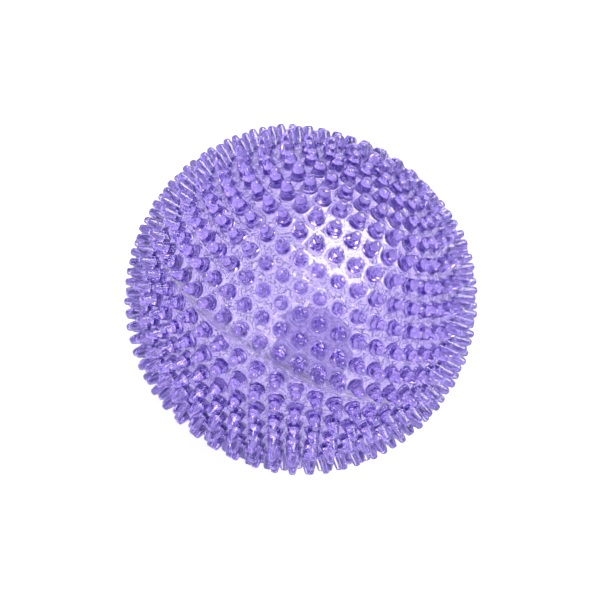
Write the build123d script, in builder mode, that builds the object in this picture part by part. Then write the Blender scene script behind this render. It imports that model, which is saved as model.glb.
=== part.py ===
"""Hollow spiked massage ball.

Two half shells are moulded in clear soft plastic, each with its spikes in one piece with it.
The rim of the lower shell has a spigot that slips inside the upper shell. A ring of glue fills
the lap between them and stands a little proud of the ball as the seam line.
The ball's centre is the origin, and +Z runs through the pole of the upper shell.
"""

import os

from build123d import *

# Core of the ball, in millimetres.
core_radius = 40.0
wall = 2.4
inner_radius = core_radius - wall

# One spike: a tapered peg whose rounded end is cut flat.
foot_radius = 2.0
taper = 0.24
tip_round = 0.7
spike_height = 5.0
polar_spike_height = 3.5
spike_root = 0.5

# Rings of spikes, in degrees of latitude from the seam. Both halves have the same counts.
ring_step = 7.4
ring_counts = [50, 50, 48, 46, 42, 38, 34, 29, 24, 17, 10, 3]
upper_first_latitude = 5.3
lower_first_latitude = 3.1
zero_azimuth = 90.0
shortening_starts = 45.0
shortening_ends = 66.0

# Lap joint at the equator.
spigot_height = 1.6
spigot_radius = 38.7
spigot_lip = 0.4
glue_film = 0.12
seam_width = 0.4
seam_proud = 0.15


def height_at(latitude):
    """Full height near the seam, easing down to the shorter spikes of the polar caps."""
    share = (latitude - shortening_starts) / (shortening_ends - shortening_starts)
    share = min(max(share, 0.0), 1.0)
    eased = share * share * (3 - 2 * share)
    return spike_height - (spike_height - polar_spike_height) * eased


def make_spike(height):
    """A tapered peg along +Z, standing on a core centred on the origin."""
    with BuildPart() as spike:
        with Locations((0, 0, core_radius - spike_root)):
            Cone(
                foot_radius + taper * spike_root,
                foot_radius - taper * height,
                height + spike_root,
                align=(Align.CENTER, Align.CENTER, Align.MIN),
            )
        fillet(spike.edges().sort_by(Axis.Z)[-1], tip_round)
    return spike.part


def half_of_spikes(first_latitude, side, stagger):
    """Every spike of one half: rings up to the pole, each turned half a pitch from the last."""
    placed = []
    for ring, count in enumerate(ring_counts):
        latitude = first_latitude + ring * ring_step
        spike = make_spike(height_at(latitude))
        pitch = 360 / count
        turned = pitch / 2 if (ring + stagger) % 2 else 0.0
        tilt = 90 - side * latitude
        for place in PolarLocations(0, count, start_angle=zero_azimuth + turned):
            placed.append(place * Location((0, 0, 0), (0, tilt, 0)) * spike)
    return placed


def export(part, name):
    part.label = name
    export_step(part, f"parts/{name}.step")


os.makedirs("parts", exist_ok=True)

lower_spikes = half_of_spikes(lower_first_latitude, -1, 1)
upper_spikes = half_of_spikes(upper_first_latitude, 1, 0)

# Lower shell: a hollow half ball whose spigot stands above the seam plane.
with BuildPart() as lower_shell:
    Sphere(core_radius)
    Sphere(inner_radius, mode=Mode.SUBTRACT)
    split(bisect_by=Plane.XY, keep=Keep.BOTTOM)
    with BuildSketch(Plane.XY.offset(-spigot_height)):
        Circle(spigot_radius - glue_film)
        Circle(inner_radius - spigot_lip, mode=Mode.SUBTRACT)
    extrude(amount=2 * spigot_height)
    add(lower_spikes)
export(lower_shell.part, "lower_shell")

# Upper shell: a hollow half ball with a rebate inside its rim for the spigot.
with BuildPart() as upper_shell:
    Sphere(core_radius)
    Sphere(inner_radius, mode=Mode.SUBTRACT)
    split(bisect_by=Plane.XY.offset(glue_film), keep=Keep.TOP)
    with BuildSketch(Plane.XY):
        Circle(spigot_radius)
    extrude(amount=spigot_height + glue_film, mode=Mode.SUBTRACT)
    add(upper_spikes)
export(upper_shell.part, "upper_shell")

# Bead: the glue that squeezed out of the joint, as a low rounded ring on the core.
with BuildPart() as bead:
    with BuildSketch(Plane.XZ):
        with Locations((core_radius, glue_film / 2)):
            Ellipse(seam_proud, seam_width / 2)
    revolve(axis=Axis.Z)
    Sphere(core_radius, mode=Mode.SUBTRACT)

# Glue ring: it fills the lap between the rims and carries the bead on its outer edge.
with BuildPart() as glue_ring:
    with BuildSketch(Plane.XY):
        Circle(core_radius)
        Circle(spigot_radius - glue_film, mode=Mode.SUBTRACT)
    extrude(amount=glue_film)
    with BuildSketch(Plane.XY):
        Circle(spigot_radius)
        Circle(spigot_radius - glue_film, mode=Mode.SUBTRACT)
    extrude(amount=spigot_height + glue_film)
    with BuildSketch(Plane.XY.offset(spigot_height)):
        Circle(spigot_radius)
        Circle(inner_radius, mode=Mode.SUBTRACT)
    extrude(amount=glue_film)
    Sphere(core_radius, mode=Mode.INTERSECT)
    add(bead.part)
export(glue_ring.part, "glue_ring")
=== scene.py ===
# %% [markdown]
# # A see-through spiked massage ball
#
# The ball is two half shells of clear violet soft plastic, joined at a seam. Each half was moulded
# in one go with its spikes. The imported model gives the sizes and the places, and this script gives
# the ball its skin: one closed surface for each half, worked out with numpy, and a see-through
# plastic that gets deeper in colour the further light travels in it. It goes in this order: where
# the spikes stand, the patch of wall round each one, the spike itself, the joint between the
# halves, and then the plastic, the light and the camera.

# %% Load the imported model
from math import atan, cos, radians, sin, sqrt

import bmesh
import bpy
import numpy as np
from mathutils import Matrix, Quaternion, Vector


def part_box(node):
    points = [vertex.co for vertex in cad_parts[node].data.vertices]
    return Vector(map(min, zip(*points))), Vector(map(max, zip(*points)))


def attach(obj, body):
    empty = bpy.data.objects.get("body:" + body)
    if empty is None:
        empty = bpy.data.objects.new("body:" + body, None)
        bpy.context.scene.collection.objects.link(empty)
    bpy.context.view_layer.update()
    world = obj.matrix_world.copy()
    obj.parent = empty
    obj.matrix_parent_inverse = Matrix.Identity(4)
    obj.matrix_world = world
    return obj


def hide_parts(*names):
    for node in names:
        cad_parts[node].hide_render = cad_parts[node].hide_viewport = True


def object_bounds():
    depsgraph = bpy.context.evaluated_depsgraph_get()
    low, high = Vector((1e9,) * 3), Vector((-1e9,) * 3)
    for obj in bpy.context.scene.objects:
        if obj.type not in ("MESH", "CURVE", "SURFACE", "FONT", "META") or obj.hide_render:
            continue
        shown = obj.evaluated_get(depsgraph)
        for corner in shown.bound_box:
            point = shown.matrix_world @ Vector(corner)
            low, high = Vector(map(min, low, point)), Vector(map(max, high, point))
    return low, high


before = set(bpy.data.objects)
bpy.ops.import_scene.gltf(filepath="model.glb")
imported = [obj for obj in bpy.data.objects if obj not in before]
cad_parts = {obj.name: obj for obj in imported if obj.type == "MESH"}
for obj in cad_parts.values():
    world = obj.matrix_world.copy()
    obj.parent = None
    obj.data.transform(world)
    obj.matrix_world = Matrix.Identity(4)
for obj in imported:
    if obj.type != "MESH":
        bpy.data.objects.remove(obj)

cad_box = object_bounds()
print("pieces in the packed model:", sorted(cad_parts))

# %% [markdown]
# ## Sizes
#
# Blender works in metres here, so a millimetre is a named value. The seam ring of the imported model
# is a bead on the core of the ball, so its box gives the core's radius. Every other size is the one
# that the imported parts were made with. Sizes that appear more than once are kept here, by name, so
# that the wall, the spikes and the joint always fit each other.

# %% Sizes of the ball
MM = 0.001
SEAM_PROUD = 0.15 * MM
GLUE_FILM = 0.12 * MM
SPIGOT_RADIUS = 38.7 * MM
SPIGOT_HEIGHT = 1.6 * MM
SPIGOT_LIP = 0.4 * MM
WALL = 2.4 * MM
JOINT_GAP = 0.02 * MM
WELD = 0.01 * MM

CORE_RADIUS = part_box("glue_ring")[1].x - SEAM_PROUD
INNER_RADIUS = CORE_RADIUS - WALL
print("core radius", round(CORE_RADIUS / MM, 2), "mm, inside radius", round(INNER_RADIUS / MM, 2), "mm")

# %% Sizes of a spike, and the rings they stand in
FOOT_RADIUS = 2.0 * MM
TAPER = 0.24
TIP_ROUND = 0.7 * MM
FOOT_FILLET = 0.28 * MM
SPIKE_HEIGHT = 5.0 * MM
POLAR_SPIKE_HEIGHT = 3.5 * MM
RIB_DEPTH = 0.04 * MM
SHORTENING = (45.0, 66.0)

RING_STEP = 7.4
RING_COUNTS = [50, 50, 48, 46, 42, 38, 34, 29, 24, 17, 10, 3]
ZERO_AZIMUTH = 90.0
FIRST_LATITUDE = {"upper": 5.3, "lower": 3.1}
STAGGER = {"upper": 0, "lower": 1}
SIDE = {"upper": 1, "lower": -1}

# %% [markdown]
# ## Where the spikes stand
#
# The mould is cut ring by ring, like lines of latitude on a globe, and each ring is turned half a
# pitch from the one before it. So a spike's place is just two angles. All the places of one half
# are worked out together, as one array of directions from the ball's centre.

# %% Directions and heights of every spike of one half
def spike_layout(half):
    """Unit directions, heights and azimuth of the seam row for one half.

    A direction is (cos lat cos az, cos lat sin az, sin lat). The height eases from the full one to
    the polar one with the smooth step 3t^2 - 2t^3."""
    rings = np.arange(len(RING_COUNTS))
    counts = np.array(RING_COUNTS)
    ring = np.repeat(rings, counts)
    place = np.arange(counts.sum()) - np.repeat(np.cumsum(counts) - counts, counts)
    pitch = 360 / counts[ring]
    turned = pitch / 2 * ((ring + STAGGER[half]) % 2)
    azimuth = np.radians(ZERO_AZIMUTH + turned + place * pitch)
    latitude = FIRST_LATITUDE[half] + ring * RING_STEP
    start, end = SHORTENING
    share = np.clip((latitude - start) / (end - start), 0, 1)
    height = SPIKE_HEIGHT - (SPIKE_HEIGHT - POLAR_SPIKE_HEIGHT) * share**2 * (3 - 2 * share)
    lat = np.radians(latitude) * SIDE[half]
    direction = np.stack([np.cos(lat) * np.cos(azimuth), np.cos(lat) * np.sin(azimuth), np.sin(lat)], 1)
    return direction, height, azimuth[ring == 0]


for half in ("upper", "lower"):
    print(half, "half:", len(spike_layout(half)[0]), "spikes")

# %% [markdown]
# ## A patch of wall for each spike
#
# The spikes and the wall between them are one moulded surface, with no edge where they meet. So the
# sphere is shared out first: each spike gets the patch of wall that is nearer to it than to any
# other spike. The corners of those patches are the centres of the triangles that a rubber skin
# stretched over the spike directions would have, which Blender's convex hull gives. Mirror copies
# of the spikes below the seam make the last patches end exactly on the seam.

# %% Patches of wall: corners, edge middles and their order round each spike
def stretched_skin(points):
    """Triangles of the convex hull of unit directions, turned to face outwards."""
    mesh = bpy.data.meshes.new("hull")
    mesh.from_pydata(points.tolist(), [], [])
    bm = bmesh.new()
    bm.from_mesh(mesh)
    bmesh.ops.convex_hull(bm, input=bm.verts)
    bmesh.ops.triangulate(bm, faces=bm.faces)
    bm.to_mesh(mesh)
    bm.free()
    corners = np.empty(len(mesh.loops), int)
    mesh.loops.foreach_get("vertex_index", corners)
    bpy.data.meshes.remove(mesh)
    triangles = corners.reshape(-1, 3)
    a, b, c = (points[triangles[:, k]] for k in range(3))
    inward = np.einsum("ij,ij->i", np.cross(b - a, c - a), a) < 0
    triangles[inward] = triangles[inward][:, ::-1]
    return triangles


def unit(vectors):
    """Each vector divided by its own length."""
    return vectors / np.linalg.norm(vectors, axis=-1, keepdims=True)


def wall_patches(spikes):
    """For every spoke from a spike to a neighbour: the spike, the middle of the border between the
    two, the corner after it, and the next spoke round the spike.

    A corner is the unit normal of its triangle, which is the point of the sphere equally far from
    the three spikes. A border's middle is the mean of its two corners, put back on the sphere."""
    mirrored = spikes * [1, 1, -1]
    points = np.concatenate([spikes, mirrored])
    tri = stretched_skin(points)
    a, b, c = (points[tri[:, k]] for k in range(3))
    corner = unit(np.cross(b - a, c - a))
    start = tri.ravel()
    end = np.roll(tri, -1, 1).ravel()
    owner = np.repeat(np.arange(len(tri)), 3)
    key = start * len(points) + end
    order = np.argsort(key)
    twin = order[np.searchsorted(key[order], end * len(points) + start)]
    spoke = np.arange(len(start))
    before = spoke - spoke % 3 + (spoke + 2) % 3
    following = twin[before]
    middle = unit(corner[owner] + corner[owner[twin]])
    keep = start < len(spikes)
    new_index = np.cumsum(keep) - 1
    border = np.minimum(spoke, twin)
    return {
        "spike": start[keep],
        "next": new_index[following[keep]],
        "middle": middle[keep],
        "corner": corner[owner[keep]],
        "middle_id": border[keep],
        "corner_id": owner[keep],
    }


# %% [markdown]
# ## The shape of a spike and of the sink behind it
#
# A spike could be a cone that is joined to the wall afterwards, but a join leaves an edge that a
# moulding doesn't have. So it is drawn as a profile instead: from the flat tip, over its rounded
# edge, down the tapered side and through a small fillet to the wall. Faint ribs run along its side,
# as the cutter leaves them in a mould. Thick plastic shrinks as it cools, so behind each spike the
# inside of the wall has sunk a little, with a crisp ring round it.

# %% Profiles of a spike and of a sink
TIP_TURNS = (90, 64, 38)
RIB_START = 0.35


def spike_profile(height):
    """Distance from the spike's axis, height over the core and rib depth, for each ring.

    The tip's edge is an arc of radius TIP_ROUND that meets the flat tip and the side, and the foot
    is a hollow arc of radius FOOT_FILLET that meets the side and the wall."""
    lean = atan(TAPER)
    tip_radius = FOOT_RADIUS - TAPER * height
    edge = tip_radius + TAPER * TIP_ROUND - TIP_ROUND / cos(lean)
    rings = []
    for turn in [radians(turn) for turn in TIP_TURNS] + [lean]:
        rib = RIB_DEPTH if turn == lean else 0.0
        rings.append((edge + TIP_ROUND * cos(turn), height - TIP_ROUND + TIP_ROUND * sin(turn), rib))
    low_side = RIB_START * height
    rings.append((FOOT_RADIUS - TAPER * low_side, low_side, RIB_DEPTH))
    foot = FOOT_RADIUS - TAPER * FOOT_FILLET + FOOT_FILLET / cos(lean)
    wall_dip = CORE_RADIUS - sqrt(CORE_RADIUS**2 - foot**2)
    for turn in (radians(180) + lean, radians(180) + lean / 2 + radians(45), radians(270)):
        drop = wall_dip * (turn - radians(180)) / radians(90)
        level = FOOT_FILLET + FOOT_FILLET * sin(turn) - drop
        rings.append((foot + FOOT_FILLET * cos(turn), level, 0.0))
    return rings


SINK_RADIUS = 2.2 * MM
SINK_DEPTH = 0.2 * MM
SINK_STEP = 0.06 * MM
SINK_RINGS = ((0.35, 0.8 * SINK_DEPTH), (0.7, SINK_STEP), (0.93, SINK_STEP), (1.0, 0.0))
SMOOTH_RINGS = 2


def sink_profile():
    """Distance from the axis, depth and rib depth, for each ring of the sink behind a spike.

    A flat floor a step down from the wall has a small bowl in its middle, and ends in a crisp
    edge. A ring's distance is its share of SINK_RADIUS."""
    return [(share * SINK_RADIUS, depth, 0.0) for share, depth in SINK_RINGS]


print("rings in a spike:", len(spike_profile(SPIKE_HEIGHT)), "and in a sink:", len(sink_profile()))

# %% [markdown]
# ## From profile to surface
#
# Carrying the profile round the spike gives a grid: one way down the profile, the other way round
# the spike. The last ring reaches out to the corners and edge middles of the patch, which the
# neighbours use too, so the patches close into one skin. All spikes of a half are worked out in the
# same few array steps, because a loop over half a million corners would be slow.

# %% The grid round every spike, as one mesh table
def column_angles(spikes, patches, u, v):
    """The angle round its spike of each spoke's two columns, seen in the axes u and v.

    Spokes are spaced evenly, in their order round the spike. Then the whole spike is turned by the
    mean angle between its even columns and the border points they lead to, so that no face twists."""
    spike = patches["spike"]
    targets = np.stack([patches["middle"], patches["corner"]], 1)
    across = np.einsum("ecj,ej->ec", targets, u[spike])
    along = np.einsum("ecj,ej->ec", targets, v[spike])
    seen = np.arctan2(along, across)
    spokes = np.bincount(spike, minlength=len(spikes))
    by_angle = np.lexsort((seen[:, 0], spike))
    rank = np.empty(len(spike), int)
    rank[by_angle] = np.arange(len(spike)) - np.repeat(np.cumsum(spokes) - spokes, spokes)
    even = 2 * np.pi * (rank[:, None] + [0.0, 0.5]) / spokes[spike][:, None]
    turn = np.zeros(len(spikes), complex)
    np.add.at(turn, spike, np.exp(1j * (seen - even)).sum(1))
    return even + np.angle(turn)[spike][:, None]


def skin(spikes, patches, radius, centre_height, rings, outward):
    """Vertices, faces and graininess of one side of the wall, with its spikes or its sinks.

    A vertex of a ring is n (radius + z) + (s + r) (u cos a + v sin a), where n is the spike's
    direction, u and v are square to it, s and z come from the profile, r is the rib's depth, out
    and in by turns, and a is the column's angle. The inside is grainy from ring SMOOTH_RINGS out."""
    spike = patches["spike"]
    u = unit(np.cross([0.0, 0.0, 1.0], spikes))
    v = np.cross(spikes, u)
    angle = column_angles(spikes, patches, u, v)
    out = u[spike][:, None] * np.cos(angle)[..., None] + v[spike][:, None] * np.sin(angle)[..., None]
    tables = [spikes * (radius + centre_height + np.zeros(len(spikes)))[:, None]]
    for s, z, rib in rings:
        s, z = s + np.zeros(len(spikes)), z + np.zeros(len(spikes))
        far = s[spike][:, None] + rib * np.array([1.0, -1.0])
        level = spikes[spike][:, None] * (radius + z)[spike][:, None, None]
        tables.append((level + out * far[..., None]).reshape(-1, 3))
    _, middle_at, middle_row = np.unique(patches["middle_id"], return_index=True, return_inverse=True)
    _, corner_at, corner_row = np.unique(patches["corner_id"], return_index=True, return_inverse=True)
    tables.append(patches["middle"][middle_at] * radius)
    tables.append(patches["corner"][corner_at] * radius)
    vertices = np.concatenate(tables)

    columns = 2 * len(spike)
    first = len(spikes)
    border_start = first + columns * len(rings)
    border = np.empty(columns, int)
    border[0::2] = border_start + middle_row
    border[1::2] = border_start + len(middle_at) + corner_row
    here = np.arange(columns)
    after = np.where(here % 2 == 0, here + 1, 2 * patches["next"][here // 2])
    centre = spike[here // 2]
    faces = [np.stack([centre, first + here, first + after, centre], 1)]
    for k in range(len(rings) - 1):
        low, high = first + k * columns, first + (k + 1) * columns
        faces.append(np.stack([low + here, high + here, high + after, low + after], 1))
    last = border_start - columns
    faces.append(np.stack([last + here, border[here], border[after], last + after], 1))
    faces = np.concatenate(faces)
    rough = np.zeros(len(vertices))
    if not outward:
        rough[first + columns * SMOOTH_RINGS:] = 1.0
    return vertices, faces if outward else faces[:, ::-1], rough


def mesh_from(name, vertices, faces, weld, rough=None):
    """A mesh from vertex and face tables, with vertices closer than weld merged into one.

    A face whose last corner repeats its first is a triangle. rough becomes the attribute "grain",
    which the plastic reads."""
    used = np.ones(faces.shape, bool)
    used[:, 3] = faces[:, 3] != faces[:, 0]
    sizes = used.sum(1)
    mesh = bpy.data.meshes.new(name)
    mesh.vertices.add(len(vertices))
    mesh.vertices.foreach_set("co", vertices.astype(np.float32).ravel())
    mesh.loops.add(int(sizes.sum()))
    mesh.loops.foreach_set("vertex_index", faces[used].astype(np.int32))
    mesh.polygons.add(len(faces))
    mesh.polygons.foreach_set("loop_start", (np.cumsum(sizes) - sizes).astype(np.int32))
    mesh.update(calc_edges=True)
    if rough is not None:
        grain = mesh.attributes.new("grain", "FLOAT", "POINT")
        grain.data.foreach_set("value", rough.astype(np.float32))
    bm = bmesh.new()
    bm.from_mesh(mesh)
    bmesh.ops.remove_doubles(bm, verts=bm.verts, dist=weld)
    bm.to_mesh(mesh)
    open_edges = sum(1 for e in bm.edges if len(e.link_faces) != 2)
    bm.free()
    print(name, len(mesh.vertices), "vertices,", len(mesh.polygons), "faces,", open_edges, "open edges")
    return mesh


# %% [markdown]
# ## Closing a half: the lap joint at the rim
#
# The two halves are glued in a lap: a spigot on the lower half slips inside a rebate in the upper
# one. So the rim isn't flat but stepped, and its steps catch the light inside the clear wall. The
# rim is a profile carried round the polar axis, with its columns at the angles where the patches
# end, so that it joins both skins with no gap.

# %% Rims
RIM_STEPS = {
    "upper": [
        (SPIGOT_RADIUS, GLUE_FILM + JOINT_GAP),
        (SPIGOT_RADIUS, SPIGOT_HEIGHT + GLUE_FILM + JOINT_GAP),
    ],
    "lower": [
        (SPIGOT_RADIUS - GLUE_FILM - JOINT_GAP, -JOINT_GAP),
        (SPIGOT_RADIUS - GLUE_FILM - JOINT_GAP, SPIGOT_HEIGHT - JOINT_GAP),
        (INNER_RADIUS - SPIGOT_LIP, SPIGOT_HEIGHT - JOINT_GAP),
        (INNER_RADIUS - SPIGOT_LIP, -SPIGOT_HEIGHT),
    ],
}
OUTER_RIM = {"upper": GLUE_FILM + JOINT_GAP, "lower": -JOINT_GAP}
INNER_RIM = {"upper": SPIGOT_HEIGHT + GLUE_FILM + JOINT_GAP, "lower": -SPIGOT_HEIGHT}
RIM_SOFTENING = 0.25


def end_at(vertices, height, side):
    """Moves a skin's border up to a rim's height h: z becomes the larger of z and h + z / 4, where z
    is measured from the seam into this half, and the point keeps its distance from the centre."""
    lifted = vertices.copy()
    z = vertices[:, 2] * side
    raised = np.maximum(z, height * side + RIM_SOFTENING * z) if height * side > 0 else z
    near = raised > z
    flat = np.hypot(vertices[near, 0], vertices[near, 1])
    full = np.linalg.norm(vertices[near], axis=1)
    wanted = np.sqrt(full**2 - raised[near] ** 2)
    lifted[near, 0] *= wanted / flat
    lifted[near, 1] *= wanted / flat
    lifted[near, 2] = raised[near] * side
    return lifted


def rim(half, seam_azimuths):
    """Rings of the stepped rim, each point (r cos a, r sin a, z), from the outer skin inwards."""
    side = SIDE[half]
    pitch = 2 * np.pi / len(seam_azimuths)
    azimuth = np.sort(np.concatenate([seam_azimuths, seam_azimuths + pitch / 2]) % (2 * np.pi))
    ends = [(sqrt(CORE_RADIUS**2 - OUTER_RIM[half] ** 2), OUTER_RIM[half])]
    ends += RIM_STEPS[half]
    ends += [(sqrt(INNER_RADIUS**2 - INNER_RIM[half] ** 2), INNER_RIM[half])]
    steps = np.array(ends)
    r, z = steps[:, :1], steps[:, 1:]
    ring = np.stack([r * np.cos(azimuth), r * np.sin(azimuth), z + 0 * azimuth], -1)
    count = len(azimuth)
    here = np.arange(count)
    after = (here + 1) % count
    near = count * np.arange(len(steps) - 1)[:, None]
    far = near + count
    faces = np.stack([near + here, near + after, far + after, far + here], -1).reshape(-1, 4)
    return ring.reshape(-1, 3), faces if side < 0 else faces[:, ::-1]


# %% One whole half: outer skin, inner skin and rim
def shell(half):
    """A closed half ball with its spikes, as one mesh at the model's place. The spigot's inner face
    is as grainy as the wall."""
    spikes, height, seam_azimuths = spike_layout(half)
    patches = wall_patches(spikes)
    side = SIDE[half]
    profile = spike_profile(height)
    outer, outer_faces, outer_rough = skin(spikes, patches, CORE_RADIUS, height, profile, True)
    sinks = sink_profile()
    inner, inner_faces, inner_rough = skin(spikes, patches, INNER_RADIUS, SINK_DEPTH, sinks, False)
    outer = end_at(outer, OUTER_RIM[half], side)
    inner = end_at(inner, INNER_RIM[half], side)
    edge, edge_faces = rim(half, seam_azimuths)
    vertices = np.concatenate([outer, inner, edge])
    faces = np.concatenate([
        outer_faces,
        inner_faces + len(outer),
        edge_faces + len(outer) + len(inner),
    ])
    spigot_inside = np.hypot(edge[:, 0], edge[:, 1]) < INNER_RADIUS - SPIGOT_LIP / 2
    rough = np.concatenate([outer_rough, inner_rough, spigot_inside])
    return mesh_from(half + "_skin", vertices, faces, WELD, rough)


# %% [markdown]
# ## Both halves
#
# Each half rides on the ball's only body and takes the place of its packed shell, which stays for
# the physics. The skin is shaded smooth, because it is one flowing surface, but the steps of the
# rim have to stay crisp: clear plastic shows a wrongly softened corner as a dark stripe.

# %% The two shells
CORNER_ANGLE = radians(45)


def piece(name, mesh, node):
    """A mesh as a finished piece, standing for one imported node. It is shaded smooth, and edges that
    turn by more than CORNER_ANGLE, such as the rim's steps, stay crisp."""
    mesh.polygons.foreach_set("use_smooth", np.ones(len(mesh.polygons), bool))
    mesh.set_sharp_from_angle(angle=CORNER_ANGLE)
    obj = bpy.data.objects.new(name, mesh)
    bpy.context.scene.collection.objects.link(obj)
    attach(obj, "root")
    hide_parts(node)
    return obj


upper = piece("upper_shell_skin", shell("upper"), "upper_shell")
lower = piece("lower_shell_skin", shell("lower"), "lower_shell")

# %% [markdown]
# ## The seam
#
# Cement fills the lap and squeezes out as a thin bead all round. It is one profile carried round the
# polar axis: a film between the rims, a film round and over the spigot, and a low rounded bead
# outside. It touches the wall of the rebate, but a hair of air is left above and below it, as where
# two clear plastics meet without melting together. That hair is what makes the seam show as a fine
# double line. Its columns are those of the rims, so that flat facets lie on flat facets.

# %% The cement ring
BEAD_HALF_WIDTH = 0.2 * MM
BEAD_STEPS = 9
RING_COLUMNS = 2 * RING_COUNTS[0]
CEMENT_WELD = 0.002 * MM


def cement_ring():
    """A closed ring: the cross-section's points (r, z) put at every azimuth a as (r cos a, r sin a, z).
    The bead swells by (1 + cos) / 2 of its height across its width."""
    across = np.linspace(-1, 1, BEAD_STEPS)
    foot = CORE_RADIUS + JOINT_GAP
    middle = GLUE_FILM / 2
    swell = (SEAM_PROUD - JOINT_GAP) * (1 + np.cos(np.pi * across)) / 2
    bead = np.stack([foot + swell, middle + BEAD_HALF_WIDTH * across], 1)
    lap = np.array([
        (foot, GLUE_FILM),
        (SPIGOT_RADIUS, GLUE_FILM),
        (SPIGOT_RADIUS, SPIGOT_HEIGHT + GLUE_FILM),
        (INNER_RADIUS, SPIGOT_HEIGHT + GLUE_FILM),
        (INNER_RADIUS, SPIGOT_HEIGHT),
        (SPIGOT_RADIUS - GLUE_FILM, SPIGOT_HEIGHT),
        (SPIGOT_RADIUS - GLUE_FILM, 0.0),
        (foot, 0.0),
    ])
    section = np.concatenate([bead, lap])
    azimuth = 2 * np.pi * np.arange(RING_COLUMNS) / RING_COLUMNS
    r, z = section[:, :1], section[:, 1:]
    vertices = np.stack([r * np.cos(azimuth), r * np.sin(azimuth), z + 0 * azimuth], -1).reshape(-1, 3)
    here = np.arange(RING_COLUMNS)
    after = (here + 1) % RING_COLUMNS
    low = np.arange(len(section))[:, None] * RING_COLUMNS
    high = np.roll(low, -1, 0)
    faces = np.stack([low + here, low + after, high + after, high + here], -1).reshape(-1, 4)
    return mesh_from("cement", vertices, faces, CEMENT_WELD)


seam = piece("seam_cement_ring", cement_ring(), "glue_ring")

# %% [markdown]
# ## Clear violet plastic
#
# A clear plastic is coloured all the way through, so its colour depends on how far light travels in
# it: pale where the wall is seen square on, and deep where it is seen along its length, as at the
# rim and in the spikes. That is absorption in the volume, and the surface only bends light. Outside
# it is nearly polished. Inside it has the look of a blasted mould core: a fine grain, and thin
# creases where the cooling plastic let go of the metal. The creases follow the places where a
# noise crosses its middle value, which gives wandering lines that never form a grid.

# %% Helpers for node materials
def add(tree, kind, sockets=None, **settings):
    """One node. A socket value is a number or colour, or another node's output to link."""
    node = tree.nodes.new(kind)
    for name, value in settings.items():
        setattr(node, name, value)
    for name, value in (sockets or {}).items():
        if isinstance(value, bpy.types.NodeSocket):
            tree.links.new(value, node.inputs[name])
        else:
            node.inputs[name].default_value = value
    return node


def calculate(tree, operation, *values):
    """The result of one step of arithmetic on numbers or on other nodes' outputs."""
    return add(tree, "ShaderNodeMath", dict(enumerate(values)), operation=operation).outputs[0]


def noise(tree, place, scale, detail=2.0, roughness=0.5):
    """Smooth random values from about 0.3 to 0.7. The bumps are about 1 / scale metres apart."""
    sockets = {"Vector": place, "Scale": scale, "Detail": detail, "Roughness": roughness}
    return add(tree, "ShaderNodeTexNoise", sockets).outputs[0]


def remap(tree, value, low, high, to_low, to_high):
    """value eased from the range low to high into the range to_low to to_high."""
    sockets = {"Value": value, "From Min": low, "From Max": high, "To Min": to_low, "To Max": to_high}
    return add(tree, "ShaderNodeMapRange", sockets, interpolation_type="SMOOTHSTEP").outputs[0]


# %% [markdown]
# ## A smooth patch on the inner wall, darkened with painted shade
#
# One patch of the inner wall, a little above the seam, has no grain. It is smooth, with a wavy outline,
# as where plastic flowed last, and its colour is darkened with a painted shade that stands for the
# ball's shadow on the floor behind it, seen through the wall. It could be a piece of its own, but it
# is in the wall, so the material finds it: it starts from one point, given as a latitude and an
# azimuth, and ends where the distance to that point, made wavy by a noise, passes a radius.

# %% The smooth patch and its painted shade
SHADED_PATCH_PLACE = (10.5, 266.0)
SHADED_PATCH_RADIUS = 13.0 * MM
SHADED_PATCH_EDGE = 0.6 * MM
SHADED_PATCH_WAVES = 4.0 * MM
SHADED_PATCH_WAVE_SCALE = 160.0
SHADED_PATCH_DEPTH = 0.05 * MM
# Painted shade: the patch's darker base colour stands for the ball's shadow on the floor, seen through
# the wall.
PATCH_PAINTED_SHADE = (0.18, 0.14, 0.36, 1.0)
SHADED_PATCH_MARGIN = 0.1 * MM


# This mask makes the wall smooth in the patch, and also places the patch's painted shade.
def smooth_shaded_patch(tree, place):
    """1 inside the smooth patch and 0 outside, with a wavy edge: the distance to the patch's centre
    plus some noise is compared with the patch's radius."""
    latitude, azimuth = (radians(angle) for angle in SHADED_PATCH_PLACE)
    centre = (cos(latitude) * cos(azimuth), cos(latitude) * sin(azimuth), sin(latitude))
    centre = [INNER_RADIUS * part for part in centre]
    away = add(tree, "ShaderNodeVectorMath", {0: place, 1: centre}, operation="DISTANCE").outputs["Value"]
    waves = calculate(tree, "MULTIPLY", noise(tree, place, SHADED_PATCH_WAVE_SCALE), 2 * SHADED_PATCH_WAVES)
    patch = remap(tree, calculate(tree, "ADD", away, waves), SHADED_PATCH_RADIUS, SHADED_PATCH_RADIUS + SHADED_PATCH_EDGE, 1.0, 0.0)
    distance = add(tree, "ShaderNodeVectorMath", {0: place}, operation="LENGTH").outputs["Value"]
    inner = calculate(tree, "LESS_THAN", distance, INNER_RADIUS + SINK_DEPTH + SHADED_PATCH_MARGIN)
    return calculate(tree, "MULTIPLY", patch, inner)


# %% The plastic of the shells and the cement
IOR = 1.49
OUTSIDE_ROUGHNESS = 0.07
CEMENT_ROUGHNESS = 0.02
INSIDE_ROUGHNESS = 0.08
GRAIN_SCALE = 900.0
GRAIN_DEPTH = 0.05 * MM
WRINKLE_SCALE = 520.0
WRINKLE_WIDTH = 0.09
WRINKLE_DEPTH = 0.34 * MM
SWIRL_SCALE = 130.0
PALE_TINTS = ((0.93, 0.91, 1.0, 1.0), (0.98, 0.96, 1.0, 1.0))
NOISE_RANGE = (0.3, 0.7)
FROST_RANGE = (0.7, 1.3)
ABSORPTION = (0.267, 0.067, 0.72, 1.0)
ABSORPTION_DENSITY = 120.0


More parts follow.
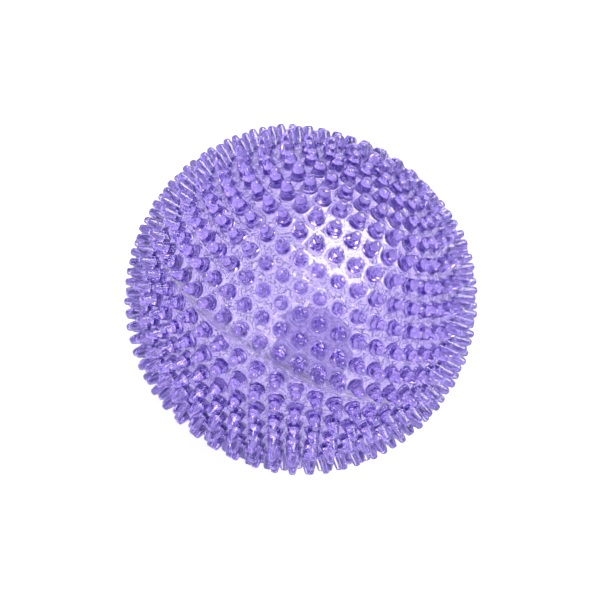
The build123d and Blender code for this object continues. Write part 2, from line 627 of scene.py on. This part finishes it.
def inner_wall(tree, place, smooth_and_shade, polish):
    """Roughness and depth of relief of a piece whose inner wall carries the attribute "grain".

    The roughness goes from polish outside to INSIDE_ROUGHNESS inside, and the relief is grain and
    creases. A crease is where a noise is within WRINKLE_WIDTH of its middle value, 0.5. Neither
    reaches the smooth patch."""
    inside = add(tree, "ShaderNodeAttribute", attribute_name="grain").outputs["Fac"]
    dry = calculate(tree, "MULTIPLY", inside, calculate(tree, "SUBTRACT", 1.0, smooth_and_shade))
    grain = noise(tree, place, GRAIN_SCALE, detail=3.0, roughness=0.6)
    frost = calculate(tree, "MULTIPLY", dry, remap(tree, grain, *NOISE_RANGE, *FROST_RANGE))
    roughness = calculate(tree, "MULTIPLY_ADD", frost, INSIDE_ROUGHNESS - polish, polish)
    wander = calculate(tree, "SUBTRACT", noise(tree, place, WRINKLE_SCALE, roughness=0.6), 0.5)
    wrinkle = calculate(tree, "ABSOLUTE", wander)
    crease = remap(tree, wrinkle, 0.0, WRINKLE_WIDTH, 0.0, WRINKLE_DEPTH)
    relief = calculate(tree, "ADD", calculate(tree, "MULTIPLY", grain, GRAIN_DEPTH), crease)
    return roughness, calculate(tree, "MULTIPLY", relief, dry)


def clear_plastic(name, polish, grained):
    """Refraction at the surface and violet absorption in the volume. polish is the roughness of the
    outside, and a grained piece is also grainy and creased on its inner wall."""
    material = bpy.data.materials.new(name)
    material.use_nodes = True
    tree = material.node_tree
    tree.nodes.clear()
    place = add(tree, "ShaderNodeTexCoord").outputs["Object"]
    smooth_and_shade = smooth_shaded_patch(tree, place)
    roughness = polish
    depth = calculate(tree, "MULTIPLY", smooth_and_shade, SHADED_PATCH_DEPTH)
    if grained:
        roughness, relief = inner_wall(tree, place, smooth_and_shade, polish)
        depth = calculate(tree, "ADD", relief, depth)
    bump = add(tree, "ShaderNodeBump", {"Strength": 1.0, "Distance": 1.0, "Height": depth})
    tint = add(tree, "ShaderNodeMix", {0: noise(tree, place, SWIRL_SCALE)}, data_type="RGBA")
    tint.inputs["A"].default_value, tint.inputs["B"].default_value = PALE_TINTS
    # Painted shade: inside the patch the base colour turns to the darker patch colour, in place of the
    # ball's shadow seen through the wall.
    painted_shade_mix = add(tree, "ShaderNodeMix", {0: smooth_and_shade}, data_type="RGBA")
    painted_shade_mix.inputs["B"].default_value = PATCH_PAINTED_SHADE
    tree.links.new(tint.outputs["Result"], painted_shade_mix.inputs["A"])
    surface = add(tree, "ShaderNodeBsdfPrincipled", {
        "Base Color": painted_shade_mix.outputs["Result"],
        "Roughness": roughness,
        "Normal": bump.outputs["Normal"],
        "IOR": IOR,
        "Transmission Weight": 1.0,
    })
    volume = add(tree, "ShaderNodeVolumeAbsorption", {"Color": ABSORPTION, "Density": ABSORPTION_DENSITY})
    output = add(tree, "ShaderNodeOutputMaterial")
    tree.links.new(surface.outputs["BSDF"], output.inputs["Surface"])
    tree.links.new(volume.outputs["Volume"], output.inputs["Volume"])
    return material


plastic = clear_plastic("clear_violet_plastic", OUTSIDE_ROUGHNESS, grained=True)
cement = clear_plastic("seam_cement", CEMENT_ROUGHNESS, grained=False)
for obj, material in ((upper, plastic), (lower, plastic), (seam, cement)):
    obj.data.materials.append(material)
    print(obj.name, "is made of", material.name)

# %% [markdown]
# ## Camera
#
# The camera looks down on the ball from eight core radii away, and is rolled, so that the ball
# seems to lie with its pole leaning to the right. It is placed by two angles and a distance, which
# are easier to reason about than three coordinates.

# %% Camera
CAMERA_DISTANCE = 8 * CORE_RADIUS
CAMERA_AZIMUTH = 252.5
CAMERA_ELEVATION = 24.57
CAMERA_ROLL = 31.13
LENS = 74.8
SENSOR = 36.0
SHIFT = (-0.0017, -0.0022)
CLIP = (0.01, 20.0)

azimuth, elevation = radians(CAMERA_AZIMUTH), radians(CAMERA_ELEVATION)
level_part = cos(elevation)
towards_camera = Vector((level_part * cos(azimuth), level_part * sin(azimuth), sin(elevation)))
camera = bpy.data.objects.new("camera", bpy.data.cameras.new("camera"))
bpy.context.scene.collection.objects.link(camera)
bpy.context.scene.camera = camera
camera.location = towards_camera * CAMERA_DISTANCE
level = towards_camera.to_track_quat("Z", "Y")
camera.rotation_mode = "QUATERNION"
camera.rotation_quaternion = level @ Quaternion((0, 0, 1), radians(CAMERA_ROLL))
camera.data.lens = LENS
camera.data.sensor_width = SENSOR
camera.data.shift_x, camera.data.shift_y = SHIFT
camera.data.clip_start, camera.data.clip_end = CLIP
view_axes = camera.rotation_quaternion.to_matrix()
print("camera", round(CAMERA_DISTANCE / MM), "mm from the ball's centre")

# %% [markdown]
# ## Floor
#
# A see-through ball shows the floor through itself, so the floor is white and wide. It glows a
# little, which stands for the light that a white sweep gathers from a whole studio, and makes the
# ball's shadow nearly disappear.

# %% Floor
FLOOR_REACH = 5.0
FLOOR_DROP = 0.05 * MM
FLOOR_GLOW = 0.86
FLOOR_PAINT = (0.4, 0.4, 0.4, 1.0)
FLOOR_ROUGHNESS = 0.9
WHITE = (1.0, 1.0, 1.0, 1.0)

low = cad_box[0].z - FLOOR_DROP
corners = [(-1, -1), (1, -1), (1, 1), (-1, 1)]
floor_mesh = bpy.data.meshes.new("floor")
floor_mesh.from_pydata([(x * FLOOR_REACH, y * FLOOR_REACH, low) for x, y in corners], [], [(0, 1, 2, 3)])
floor = bpy.data.objects.new("floor", floor_mesh)
bpy.context.scene.collection.objects.link(floor)

white = bpy.data.materials.new("white_floor")
white.use_nodes = True
paint = white.node_tree.nodes["Principled BSDF"]
paint.inputs["Base Color"].default_value = FLOOR_PAINT
paint.inputs["Roughness"].default_value = FLOOR_ROUGHNESS
paint.inputs["Emission Color"].default_value = WHITE
paint.inputs["Emission Strength"].default_value = FLOOR_GLOW
floor_mesh.materials.append(white)
print("floor at", round(low / MM, 2), "mm")

# %% [markdown]
# ## Light
#
# A clear thing shows its surroundings, so they are most of its look. White all round makes the thin
# parts glow, a little brighter from the right than from the left so that the ball looks round. One
# large soft box to the upper right of the camera puts a broad sheen on the wall.

# %% World and soft box
WORLD_DIM = 0.55
WORLD_BRIGHT = 1.2
WORLD_BRIGHT_SIDE = (0.9, 0.35, 0.1)

world = bpy.data.worlds.new("studio")
bpy.context.scene.world = world
world.use_nodes = True
tree = world.node_tree
tree.nodes.clear()
ray = add(tree, "ShaderNodeTexCoord").outputs["Generated"]
bright_side = (view_axes @ Vector(WORLD_BRIGHT_SIDE)).normalized()
facing = add(tree, "ShaderNodeVectorMath", {0: ray, 1: bright_side}, operation="DOT_PRODUCT")
brightness = remap(tree, facing.outputs["Value"], -1.0, 1.0, WORLD_DIM, WORLD_BRIGHT)
sky = add(tree, "ShaderNodeBackground", {"Color": WHITE, "Strength": brightness})
add(tree, "ShaderNodeOutputWorld", {"Surface": sky.outputs[0]})

BOX_DIRECTION = (0.455, 0.572, 0.682)
BOX_DISTANCE = 0.8
BOX_SIDE = 0.6
BOX_POWER = 13.0

soft_box = bpy.data.objects.new("upper_right_box", bpy.data.lights.new("upper_right_box", "AREA"))
bpy.context.scene.collection.objects.link(soft_box)
away = (view_axes @ Vector(BOX_DIRECTION)).normalized()
soft_box.location = away * BOX_DISTANCE
soft_box.rotation_mode = "QUATERNION"
soft_box.rotation_quaternion = away.to_track_quat("Z", "Y")
soft_box.data.size = BOX_SIDE
soft_box.data.energy = BOX_POWER
print("soft box", BOX_SIDE, "m wide,", BOX_DISTANCE, "m away")

# %% [markdown]
# ## How far light is followed
#
# Light that is caught in clear plastic bounces many times before it gets out. If it is given up
# early the spikes turn grey and dirty, so it is followed for 24 bounces, mirrored ones too.

# %% Bounces and colours
BOUNCES = 24
bpy.context.scene.view_settings.view_transform = "Standard"
bpy.context.scene.cycles.max_bounces = BOUNCES
bpy.context.scene.cycles.transmission_bounces = BOUNCES
bpy.context.scene.cycles.glossy_bounces = BOUNCES
